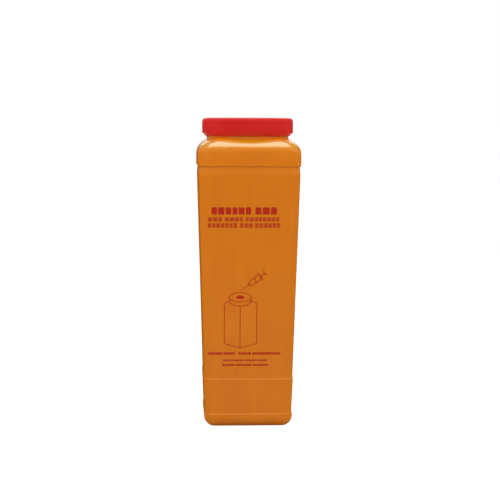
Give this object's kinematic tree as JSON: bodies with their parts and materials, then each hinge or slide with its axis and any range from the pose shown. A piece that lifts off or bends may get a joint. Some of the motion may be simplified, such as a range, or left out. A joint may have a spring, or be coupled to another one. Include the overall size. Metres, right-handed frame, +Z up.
{
  "type": "sharps container",
  "caption": "Tall square tapered plastic jar for used sharps, with rolled shoulders, a round screw cap, a tamper band and a hinged flap over the drop aperture.",
  "frame": {"origin": "centre of the base, on the surface that the jar stands on", "axes": "+Z up through the middle of the neck, -Y towards the printed front, +X to the right of the front"},
  "size_m": [0.127, 0.127, 0.382],
  "materials": {
    "jar_hdpe": "satin blow-moulded polyethylene, amber orange",
    "cap_pp": "semi-gloss moulded polypropylene, signal red",
    "liner_foam": "matt closed-cell foam, off-white",
    "pin_plastic": "satin natural acetal",
    "seal_rubber": "matt black elastomer"
  },
  "bodies": {
    "jar": {"jar_body": "jar_hdpe", "tamper_band": "cap_pp"},
    "liner": {"cap_liner": "liner_foam"},
    "cap": {"screw_cap": "cap_pp", "flap_hinge_pin": "pin_plastic"},
    "flap": {"aperture_flap": "cap_pp", "flap_seal": "seal_rubber"}
  },
  "joints": [
    {"name": "cap_lift", "type": "slide", "parent": "jar", "child": "liner", "axis": [0, 0, 1], "range_m": [0, 0.0241]},
    {"name": "cap_turn", "type": "hinge", "parent": "liner", "child": "cap", "pos_m": [0, 0, 0.37], "axis": [0, 0, 1], "range_deg": [0, 1440]},
    {"name": "flap_open", "type": "hinge", "parent": "cap", "child": "flap", "pos_m": [0, 0.036, 0.3786], "axis": [-1, 0, 0], "range_deg": [0, 135]}
  ],
  "couplings": [
    {"joint": "cap_lift", "follows": "cap_turn", "m_per_rad": 0.00095493}
  ]
}
